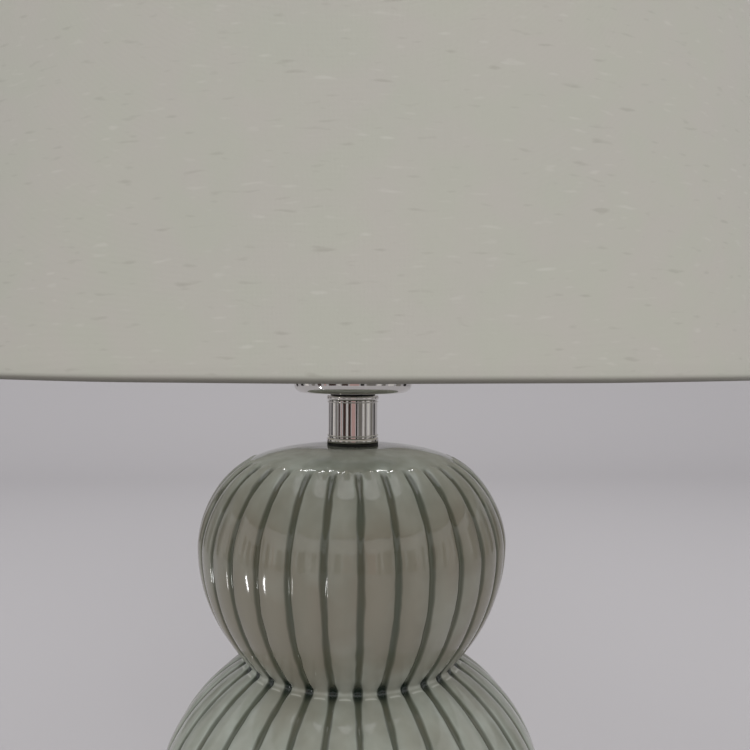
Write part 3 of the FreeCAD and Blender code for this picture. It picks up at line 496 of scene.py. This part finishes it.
def baked(made):
    """Replaces an object's mesh by the one its modifiers make."""
    bpy.context.view_layer.update()
    result = bpy.data.meshes.new_from_object(made.evaluated_get(bpy.context.evaluated_depsgraph_get()))
    made.modifiers.clear()
    made.data = result


for attribute_name, values in masks.items():
    attribute = body.data.attributes.new(attribute_name, "FLOAT", "POINT")
    attribute.data.foreach_set("value", [float(value) for value in values])
face_outwards(body.data)

# The inlet at the back: a spot face for the bushing's flange and a hole for its tail.
bushing_low, bushing_high = (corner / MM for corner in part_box("cord_bushing"))
flange_thickness = 2
flange_radius = (bushing_high.z - bushing_low.z) / 2
flange_room = 1
tail_radius = 5.5
tail_room = 0.15
inlet_height = (bushing_high.z + bushing_low.z) / 2
flange_face = bushing_high.y - flange_thickness
tool_sides = 72
tool_reach = 40
spot_face = (flange_radius + flange_room, flange_face, flange_face + tool_reach)
tail_hole = (tail_radius + tail_room, flange_face - tool_reach, flange_face + tool_reach / 2)
for tool_radius, tool_start, tool_end in (spot_face, tail_hole):
    tool_points = []
    for end in (tool_start, tool_end):
        for side in range(tool_sides):
            turn = 2 * math.pi * side / tool_sides
            tool_points.append((tool_radius * math.cos(turn), end,
                                inlet_height + tool_radius * math.sin(turn)))
    tool_faces = [tuple(range(tool_sides)), tuple(range(tool_sides, 2 * tool_sides))]
    for side in range(tool_sides):
        following = (side + 1) % tool_sides
        tool_faces.append((side, following, tool_sides + following, tool_sides + side))
    tool = mesh_object("inlet_tool", tool_points, tool_faces, celadon)
    face_outwards(tool.data)
    cut = body.modifiers.new("inlet", "BOOLEAN")
    cut.operation = "DIFFERENCE"
    cut.solver = "MANIFOLD"
    cut.object = tool
    baked(body)
    bpy.data.objects.remove(tool)
sharp_edge_degrees = 50
body.data.set_sharp_from_angle(angle=math.radians(sharp_edge_degrees))
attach(body, "lamp_stand")
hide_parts("ceramic_body")


# ---------------------------------------------------------------- felt foot
# A die-cut ring of pressed wool felt, dark grey-green and 2 mm thick.
# It is glued under the foot, so that the lamp doesn't scratch a table.
def dress(material, *nodes):
    """Gives carried-over parts their finish."""
    for node in nodes:
        for material_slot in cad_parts[node].material_slots:
            material_slot.material = material


fibre_width_mm = 0.6
felt = start_material("pressed wool felt")
felt_place = add_node(felt, "TexCoord").outputs["Object"]
felt_fibres = add_node(felt, "TexNoise", {
    "Vector": felt_place, "Scale": noise_scale(fibre_width_mm), "Detail": 4.0, "Roughness": 0.7})
felt_tone = add_node(felt, "Mix", {
    "Factor": felt_fibres.outputs["Fac"], "A": linear("#26302B"), "B": linear("#4A574F")}, data_type="RGBA")
felt_bump = add_node(felt, "Bump", {
    "Height": felt_fibres.outputs["Fac"], "Strength": 0.8, "Distance": 0.4 * MM})
felt_surface = add_node(felt, "BsdfPrincipled", {
    "Base Color": felt_tone.outputs["Result"], "Roughness": 1.0, "Sheen Weight": 0.4,
    "Normal": felt_bump.outputs[0]})
finish_material(felt, felt_surface.outputs[0])
dress(felt, "felt_foot_ring")


# ---------------------------------------------------------------- base plate, washer, nut and rod
# Pressed and turned steel with a bright, slightly cloudy zinc coat. Plate, washer and nut clamp the
# ceramic on the hollow rod. The dish's nut, the set screw and the switch's shaft have the same finish.
zinc_cloud_mm = 4.5
zinc = start_material("zinc-plated steel")
zinc_place = add_node(zinc, "TexCoord").outputs["Object"]
zinc_clouds = add_node(zinc, "TexNoise", {
    "Vector": zinc_place, "Scale": noise_scale(zinc_cloud_mm), "Detail": 4.0})
zinc_tone = add_node(zinc, "Mix", {
    "Factor": zinc_clouds.outputs["Fac"], "A": linear("#8E8F8C"), "B": linear("#B4B5B0")}, data_type="RGBA")
zinc_rough = add_node(zinc, "MapRange", {
    "Value": zinc_clouds.outputs["Fac"], "To Min": 0.28, "To Max": 0.5})
zinc_surface = add_node(zinc, "BsdfPrincipled", {
    "Base Color": zinc_tone.outputs["Result"], "Metallic": 1.0, "Roughness": zinc_rough.outputs[0]})
finish_material(zinc, zinc_surface.outputs[0])
dress(zinc, "base_plate", "base_lock_washer", "base_hex_nut", "hollow_threaded_rod", "dish_hex_nut",
      "socket_set_screw", "switch_shaft")


# ---------------------------------------------------------------- cord bushing, socket core and knob
# Moulded black phenolic and nylon: an even, slightly mottled satin. The bushing snaps into the
# ceramic's back, the core sits in the socket's shell, and the knob is pressed on its shaft.
phenolic_grain_mm = 0.7
phenolic = start_material("moulded black plastic")
phenolic_place = add_node(phenolic, "TexCoord").outputs["Object"]
phenolic_grain = add_node(phenolic, "TexNoise", {
    "Vector": phenolic_place, "Scale": noise_scale(phenolic_grain_mm), "Detail": 2.0})
phenolic_tone = add_node(phenolic, "Mix", {
    "Factor": phenolic_grain.outputs["Fac"], "A": linear("#141413"), "B": linear("#242321")},
    data_type="RGBA")
phenolic_bump = add_node(phenolic, "Bump", {
    "Height": phenolic_grain.outputs["Fac"], "Strength": 0.3, "Distance": 0.1 * MM})
phenolic_surface = add_node(phenolic, "BsdfPrincipled", {
    "Base Color": phenolic_tone.outputs["Result"], "Roughness": 0.42, "Normal": phenolic_bump.outputs[0]})
finish_material(phenolic, phenolic_surface.outputs[0])
dress(phenolic, "cord_bushing", "socket_core", "switch_knob")


# ---------------------------------------------------------------- gasket and spacer
# Soft black rubber rings, dull, with a fine moulded grain. They are clamped in the stack, one
# between collar and glaze, the other between the upper collar and the dish.
rubber_grain_mm = 0.45
rubber = start_material("black rubber")
rubber_place = add_node(rubber, "TexCoord").outputs["Object"]
rubber_grain = add_node(rubber, "TexNoise", {
    "Vector": rubber_place, "Scale": noise_scale(rubber_grain_mm), "Detail": 3.0})
rubber_tone = add_node(rubber, "Mix", {
    "Factor": rubber_grain.outputs["Fac"], "A": linear("#0E0E0E"), "B": linear("#1E1D1C")},
    data_type="RGBA")
rubber_surface = add_node(rubber, "BsdfPrincipled", {
    "Base Color": rubber_tone.outputs["Result"], "Roughness": 0.7})
finish_material(rubber, rubber_surface.outputs[0])
dress(rubber, "neck_gasket", "neck_spacer")


# ---------------------------------------------------------------- neck, dish and finial
# Spun and turned steel, buffed and chrome plated: a hard mirror with only the finest wiping marks.
# Collars, tube and dish are clamped on the rod. The finial is screwed down on the shade's spider.
wiping_mark_mm = 2.9
chrome = start_material("polished chrome plate")
chrome_place = add_node(chrome, "TexCoord").outputs["Object"]
chrome_wear = add_node(chrome, "TexNoise", {
    "Vector": chrome_place, "Scale": noise_scale(wiping_mark_mm), "Detail": 5.0})
chrome_rough = add_node(chrome, "MapRange", {
    "Value": chrome_wear.outputs["Fac"], "To Min": 0.03, "To Max": 0.09})
chrome_tone = add_node(chrome, "Mix", {
    "Factor": chrome_wear.outputs["Fac"], "A": linear("#CFCCC8"), "B": linear("#D9D7D3")}, data_type="RGBA")
chrome_surface = add_node(chrome, "BsdfPrincipled", {
    "Base Color": chrome_tone.outputs["Result"], "Metallic": 1.0, "Roughness": chrome_rough.outputs[0]})
finish_material(chrome, chrome_surface.outputs[0])
dress(chrome, "neck_lower_collar", "neck_tube", "neck_upper_collar", "dish", "finial", "finial_washer")


# ---------------------------------------------------------------- harp, saddle and sleeves
# Bent steel wire and pressed strap, nickel plated: warmer and softer than the chrome.
# The saddle is clamped under the socket, and a sleeve over each foot locks the bow to its ears.
drawing_mark_mm = 1.1
nickel = start_material("nickel-plated steel")
nickel_place = add_node(nickel, "TexCoord").outputs["Object"]
drawing_lines = add_node(nickel, "TexNoise", {
    "Vector": nickel_place, "Scale": noise_scale(drawing_mark_mm), "Detail": 3.0})
nickel_rough = add_node(nickel, "MapRange", {
    "Value": drawing_lines.outputs["Fac"], "To Min": 0.18, "To Max": 0.34})
nickel_tone = add_node(nickel, "Mix", {
    "Factor": drawing_lines.outputs["Fac"], "A": linear("#B3ADA0"), "B": linear("#C6C1B4")},
    data_type="RGBA")
nickel_surface = add_node(nickel, "BsdfPrincipled", {
    "Base Color": nickel_tone.outputs["Result"], "Metallic": 1.0, "Roughness": nickel_rough.outputs[0]})
finish_material(nickel, nickel_surface.outputs[0])
dress(nickel, "harp_saddle", "harp_bow", "harp_stud", "right_harp_sleeve", "left_harp_sleeve")


# ---------------------------------------------------------------- socket cap and shell
# Spun brass with a thin nickel wash: the warm base shows through where the spinning lines run.
# The cap is screwed on the rod and held by its set screw, and the shell snaps into the cap.
def wave_scale(period_mm):
    """The wave texture's scale for lines at a real distance: it has 20 / 2 pi lines per unit."""
    return math.pi / 10 / (period_mm * MM)


spinning_pitch_mm = 1.2
washed_brass = start_material("nickel-washed brass")
washed_place = add_node(washed_brass, "TexCoord").outputs["Object"]
spinning_lines = add_node(washed_brass, "TexWave", {
    "Vector": washed_place, "Scale": wave_scale(spinning_pitch_mm), "Distortion": 1.0, "Detail": 2.0},
    bands_direction="Z")
washed_tone = add_node(washed_brass, "Mix", {
    "Factor": spinning_lines.outputs["Fac"], "A": linear("#B5A98C"), "B": linear("#CBC2AA")},
    data_type="RGBA")
washed_rough = add_node(washed_brass, "MapRange", {
    "Value": spinning_lines.outputs["Fac"], "To Min": 0.2, "To Max": 0.32})
washed_surface = add_node(washed_brass, "BsdfPrincipled", {
    "Base Color": washed_tone.outputs["Result"], "Metallic": 1.0, "Roughness": washed_rough.outputs[0]})
finish_material(washed_brass, washed_surface.outputs[0])
dress(washed_brass, "socket_cap", "socket_shell")


# ---------------------------------------------------------------- brass parts and paper liner
# Turned brass contacts and screws, fixed to the socket's core and the bulb's base, and the grey
# tube of vulcanised paper that lines the socket's shell.
tarnish_spot_mm = 2.5
brass = start_material("turned brass")
brass_place = add_node(brass, "TexCoord").outputs["Object"]
tarnish = add_node(brass, "TexNoise", {
    "Vector": brass_place, "Scale": noise_scale(tarnish_spot_mm), "Detail": 4.0})
brass_tone = add_node(brass, "Mix", {
    "Factor": tarnish.outputs["Fac"], "A": linear("#B08A45"), "B": linear("#D8B566")}, data_type="RGBA")
brass_surface = add_node(brass, "BsdfPrincipled", {
    "Base Color": brass_tone.outputs["Result"], "Metallic": 1.0, "Roughness": 0.28})
finish_material(brass, brass_surface.outputs[0])
dress(brass, "terminal_screws", "screw_shell", "centre_contact", "bulb_tip_contact")

pulp_size_mm = 0.8
liner_paper = start_material("vulcanised paper")
liner_place = add_node(liner_paper, "TexCoord").outputs["Object"]
pulp = add_node(liner_paper, "TexNoise", {
    "Vector": liner_place, "Scale": noise_scale(pulp_size_mm), "Detail": 5.0})
pulp_tone = add_node(liner_paper, "Mix", {
    "Factor": pulp.outputs["Fac"], "A": linear("#6E675B"), "B": linear("#8D8576")}, data_type="RGBA")
pulp_surface = add_node(liner_paper, "BsdfPrincipled", {
    "Base Color": pulp_tone.outputs["Result"], "Roughness": 0.85})
finish_material(liner_paper, pulp_surface.outputs[0])
dress(liner_paper, "socket_liner")


# ---------------------------------------------------------------- bulb
# A blown glass envelope with a fine white powder inside, cemented in a rolled aluminium base
# that is screwed into the socket.
powder_cloud_mm = 8.3
frosted = start_material("frosted bulb glass")
frosted_place = add_node(frosted, "TexCoord").outputs["Object"]
powder = add_node(frosted, "TexNoise", {
    "Vector": frosted_place, "Scale": noise_scale(powder_cloud_mm), "Detail": 3.0})
powder_tone = add_node(frosted, "Mix", {
    "Factor": powder.outputs["Fac"], "A": linear("#E6E4DC"), "B": linear("#F2F1EC")}, data_type="RGBA")
frosted_surface = add_node(frosted, "BsdfPrincipled", {
    "Base Color": powder_tone.outputs["Result"], "Roughness": 0.18, "IOR": 1.5,
    "Subsurface Weight": 0.25, "Subsurface Scale": 2 * MM})
finish_material(frosted, frosted_surface.outputs[0])
dress(frosted, "bulb_glass")

rolling_mark_mm = 1.4
aluminium = start_material("rolled aluminium")
aluminium_place = add_node(aluminium, "TexCoord").outputs["Object"]
rolling = add_node(aluminium, "TexNoise", {
    "Vector": aluminium_place, "Scale": noise_scale(rolling_mark_mm), "Detail": 3.0})
rolling_rough = add_node(aluminium, "MapRange", {
    "Value": rolling.outputs["Fac"], "To Min": 0.25, "To Max": 0.45})
aluminium_surface = add_node(aluminium, "BsdfPrincipled", {
    "Base Color": linear("#C4C5C6"), "Metallic": 1.0, "Roughness": rolling_rough.outputs[0]})
finish_material(aluminium, aluminium_surface.outputs[0])
dress(aluminium, "bulb_base")


# ---------------------------------------------------------------- shade fabric
# One strip of off-white linen-look cloth, laminated on the lining, lapped and glued at the back.
# It is turned in over both rim wires, which gives the rims their round edge.
fabric_low, fabric_high = (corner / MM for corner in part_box("shade_fabric"))
rim_low_radius = 200
rim_high_radius = 185
cloth_thickness = 0.8
rim_taper = rim_low_radius - rim_high_radius
rim_width = 6.28               # from the outer face to the tucked edge behind the wire
hem_turn = 6
hem_straight = 3.8             # where the tucked edge starts to turn round the wire
edge_bend = 1.7
bend_step_degrees = 15
lap = 9
lap_start = 1.5                # in laps before the end, where the cloth lifts over itself
lap_lift = cloth_thickness + 0.1
tuck_fade = 2
waver_size = 70                # slow unevenness of the glued cloth, and how far it goes
waver_depth = 0.22
droop_size = 400
droop_depth = 0.25
cloth_map_radius = 192
strip_columns = 300
face_rows = 60


def rim_edge(rim_radius, rim_z, up):
    """The cloth's turn at one rim, from the tucked edge round the wire to the outer face."""
    inner = rim_radius - rim_width
    line = [(inner, rim_z + up * hem_turn), (inner, rim_z + up * hem_straight)]
    for centre, first_turn in ((inner + edge_bend, 180), (rim_radius - edge_bend, 270)):
        for bend_step in range(90 // bend_step_degrees + 1):
            turn = math.radians(first_turn + bend_step_degrees * bend_step)
            line.append((centre + edge_bend * math.cos(turn),
                         rim_z + up * (edge_bend + edge_bend * math.sin(turn))))
    return line


low_edge = rim_edge(rim_low_radius, fabric_low.z, 1)
high_edge = rim_edge(rim_high_radius, fabric_high.z, -1)[::-1]
cloth_line = list(low_edge)
for row in range(1, face_rows):
    row_share = row / face_rows
    cloth_line.append((low_edge[-1][0] + row_share * (high_edge[0][0] - low_edge[-1][0]),
                       low_edge[-1][1] + row_share * (high_edge[0][1] - low_edge[-1][1])))
cloth_line += high_edge
lap_angle = lap / rim_low_radius
tuck_radius = rim_low_radius - rim_width
cloth_points = []
cloth_places = []
for column in range(strip_columns + 1):
    turn_share = column / strip_columns
    turned = turn_share * (2 * math.pi + lap_angle)
    angle = math.pi / 2 + turned
    lapped = smooth_step(2 * math.pi - lap_angle * lap_start, 2 * math.pi, turned)
    for radius, height in cloth_line:
        height_share = (height - fabric_low.z) / (fabric_high.z - fabric_low.z)
        tuck = smooth_step(tuck_radius, tuck_radius + tuck_fade, radius + rim_taper * height_share)
        spot = Vector((math.cos(angle) * radius, math.sin(angle) * radius, height)) / waver_size
        waver = waver_depth * noise.noise(spot) * tuck
        droop_spot = Vector((math.cos(angle) * 3, math.sin(angle) * 3, height / droop_size))
        droop = droop_depth * noise.noise(droop_spot)
        reach = radius + waver + lapped * lap_lift * tuck
        cloth_points.append((reach * math.cos(angle), reach * math.sin(angle), height + droop))
        cloth_places.append((angle * cloth_map_radius * MM, height * MM, 0.0))
cloth_rows = len(cloth_line)
cloth_faces = []
for column in range(strip_columns):
    for row in range(cloth_rows - 1):
        corner = column * cloth_rows + row
        cloth_faces.append((corner, corner + cloth_rows, corner + cloth_rows + 1, corner + 1))

thread_mm = 0.34
slub_length_mm = 9
patch_size_mm = 16
cloth_cloud_mm = 70
linen = start_material("off-white slub linen")
cloth_place = add_node(linen, "Attribute", attribute_name="cloth").outputs["Vector"]
weft = add_node(linen, "TexWave", {
    "Vector": cloth_place, "Scale": wave_scale(thread_mm), "Distortion": 1.5, "Detail": 2.0,
    "Detail Scale": 0.4}, bands_direction="Y")
warp = add_node(linen, "TexWave", {
    "Vector": cloth_place, "Scale": wave_scale(thread_mm), "Distortion": 1.5, "Detail": 2.0,
    "Detail Scale": 0.4}, bands_direction="X")
weave = add_node(linen, "Math", {0: weft.outputs["Fac"], 1: warp.outputs["Fac"]}, operation="MULTIPLY")
along_weft = add_node(linen, "Mapping", {"Vector": cloth_place, "Scale": (1, 4, 1)})
slubs = add_node(linen, "TexNoise", {
    "Vector": along_weft.outputs[0], "Scale": noise_scale(slub_length_mm), "Detail": 1.0, "Roughness": 0.5})
slub_share = add_node(linen, "MapRange", {
    "Value": slubs.outputs["Fac"], "From Min": 0.66, "From Max": 0.78, "To Min": 0.0, "To Max": 0.30})
pale_share = add_node(linen, "MapRange", {
    "Value": slubs.outputs["Fac"], "From Min": 0.34, "From Max": 0.22, "To Min": 0.0, "To Max": 0.35})
patches = add_node(linen, "TexNoise", {
    "Vector": cloth_place, "Scale": noise_scale(patch_size_mm), "Detail": 1.0, "Roughness": 0.5})
patch_share = add_node(linen, "MapRange", {
    "Value": patches.outputs["Fac"], "From Min": 0.35, "From Max": 0.65})
cloth_clouds = add_node(linen, "TexNoise", {
    "Vector": cloth_place, "Scale": noise_scale(cloth_cloud_mm), "Detail": 2.0})
patch_tone = add_node(linen, "Mix", {
    "Factor": patch_share.outputs[0], "A": linear("#B6B1A8"), "B": linear("#B3B3A5")}, data_type="RGBA")
cloud_tone = add_node(linen, "Mix", {
    "Factor": cloth_clouds.outputs["Fac"], "A": linear("#B0B0A8"), "B": linear("#B8B5AC")},
    data_type="RGBA")
cloth_ground = add_node(linen, "Mix", {
    "Factor": 0.5, "A": patch_tone.outputs["Result"], "B": cloud_tone.outputs["Result"]}, data_type="RGBA")
pale_tone = add_node(linen, "Mix", {
    "Factor": pale_share.outputs[0], "A": cloth_ground.outputs["Result"], "B": linear("#C8C6BE")},
    data_type="RGBA")
cloth_tone = add_node(linen, "Mix", {
    "Factor": slub_share.outputs[0], "A": pale_tone.outputs["Result"], "B": linear("#8F8A80")},
    data_type="RGBA")
weave_share = add_node(linen, "MapRange", {"Value": weave.outputs[0], "To Min": 0.0, "To Max": 0.10})
cloth_colour = add_node(linen, "Mix", {
    "Factor": weave_share.outputs[0], "A": cloth_tone.outputs["Result"], "B": linear("#8F8B7F")},
    data_type="RGBA")
cloth_height = add_node(linen, "Math", {0: weave.outputs[0], 1: slub_share.outputs[0]}, operation="ADD")
cloth_bump = add_node(linen, "Bump", {
    "Height": cloth_height.outputs[0], "Strength": 0.35, "Distance": 0.2 * MM})
# Painted shade: the cloth darkens over its lowest millimetres, where the hem turns under the lower rim.
edge_height = add_node(linen, "SeparateXYZ", {0: cloth_place}).outputs["Y"]
rim_shade_heights = (2.6, 0.6)      # above the rim: where the shaded edge starts, and where it is full
painted_rim_shade = add_node(linen, "MapRange", {
    "Value": edge_height, "From Min": (fabric_low.z + rim_shade_heights[0]) * MM,
    "From Max": (fabric_low.z + rim_shade_heights[1]) * MM, "To Min": 0.0, "To Max": 0.75},
    interpolation_type="SMOOTHSTEP")
rim_shaded_colour = add_node(linen, "Mix", {
    "Factor": painted_rim_shade.outputs[0], "A": cloth_colour.outputs["Result"], "B": linear("#57534A")},
    data_type="RGBA")
linen_surface = add_node(linen, "BsdfPrincipled", {
    "Base Color": rim_shaded_colour.outputs["Result"], "Roughness": 0.92, "Sheen Weight": 0.15,
    "Specular IOR Level": 0.25, "Normal": cloth_bump.outputs[0]})
finish_material(linen, linen_surface.outputs[0])

fabric = mesh_object("shade_cloth", cloth_points, cloth_faces, linen)
cloth_attribute = fabric.data.attributes.new("cloth", "FLOAT_VECTOR", "POINT")
cloth_attribute.data.foreach_set("vector", [value for spot in cloth_places for value in spot])
thicken = fabric.modifiers.new("cloth_thickness", "SOLIDIFY")
thicken.thickness = cloth_thickness * MM
thicken.offset = -1
thicken.use_even_offset = True
baked(fabric)
line_steps = zip(cloth_line, cloth_line[1:])
cloth_width = sum(math.hypot(b[0] - a[0], b[1] - a[1]) for a, b in line_steps) * MM
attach(fabric, "shade")
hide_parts("shade_fabric")


# ---------------------------------------------------------------- shade lining, wires and spider
# A calendered white styrene sheet, rolled to a cone and glued behind the cloth, and steel wire
# rings with a welded three-armed spider, all powder coated white.
calender_mark_mm = 17
styrene = start_material("white styrene sheet")
styrene_place = add_node(styrene, "TexCoord").outputs["Object"]
calender = add_node(styrene, "TexNoise", {
    "Vector": styrene_place, "Scale": noise_scale(calender_mark_mm), "Detail": 4.0})
styrene_tone = add_node(styrene, "Mix", {
    "Factor": calender.outputs["Fac"], "A": linear("#D9D6CD"), "B": linear("#E4E2DB")}, data_type="RGBA")
styrene_surface = add_node(styrene, "BsdfPrincipled", {
    "Base Color": styrene_tone.outputs["Result"], "Roughness": 0.5, "IOR": 1.55})
finish_material(styrene, styrene_surface.outputs[0])
dress(styrene, "shade_lining")

orange_peel_mm = 0.9
powder_coat = start_material("white powder coat")
coat_place = add_node(powder_coat, "TexCoord").outputs["Object"]
orange_peel = add_node(powder_coat, "TexNoise", {
    "Vector": coat_place, "Scale": noise_scale(orange_peel_mm), "Detail": 2.0})
coat_bump = add_node(powder_coat, "Bump", {
    "Height": orange_peel.outputs["Fac"], "Strength": 0.3, "Distance": 0.1 * MM})
coat_surface = add_node(powder_coat, "BsdfPrincipled", {
    "Base Color": linear("#DAD8D1"), "Roughness": 0.38, "Normal": coat_bump.outputs[0]})
finish_material(powder_coat, coat_surface.outputs[0])
dress(powder_coat, "shade_top_wire", "shade_bottom_wire", "shade_spider")


# ---------------------------------------------------------------- view and finish
scene.view_settings.view_transform = "Standard"
bpy.context.view_layer.update()
